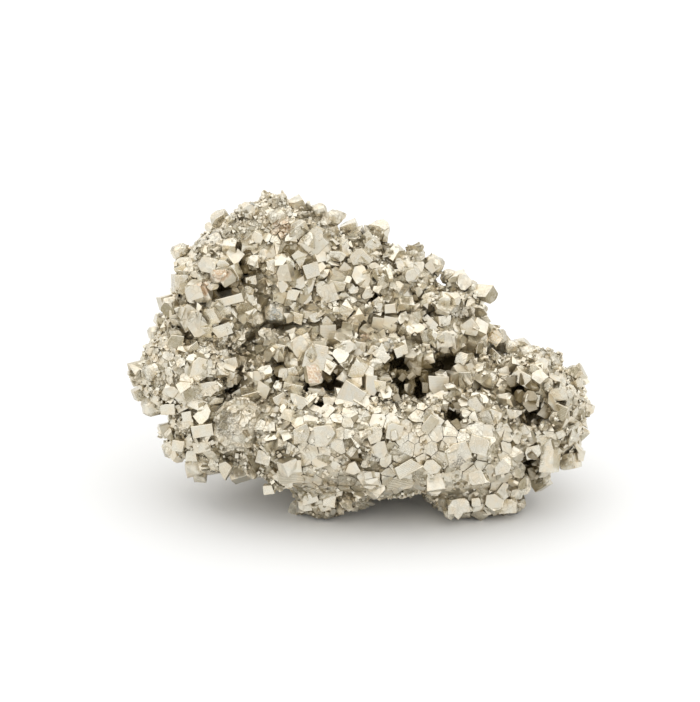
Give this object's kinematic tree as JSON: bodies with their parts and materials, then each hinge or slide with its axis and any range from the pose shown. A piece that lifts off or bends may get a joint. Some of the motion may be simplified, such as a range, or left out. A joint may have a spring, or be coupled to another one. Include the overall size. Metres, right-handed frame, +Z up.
{
  "type": "pyrite specimen",
  "caption": "Natural lump of intergrown pale brass-yellow pyrite crystals, a free-standing mineral display piece that rests on its own broken feet.",
  "frame": {"origin": "under the middle of the bounding box, on the surface the specimen rests on", "axes": "+X along the longest extent, towards the low lobe on the showing side's right; +Y towards the back, away from the showing side; +Z up"},
  "size_m": [0.1022, 0.057, 0.0665],
  "materials": {
    "pyrite": "satin"
  },
  "bodies": {
    "root": {"pyrite_cluster": "pyrite"}
  },
  "joints": []
}
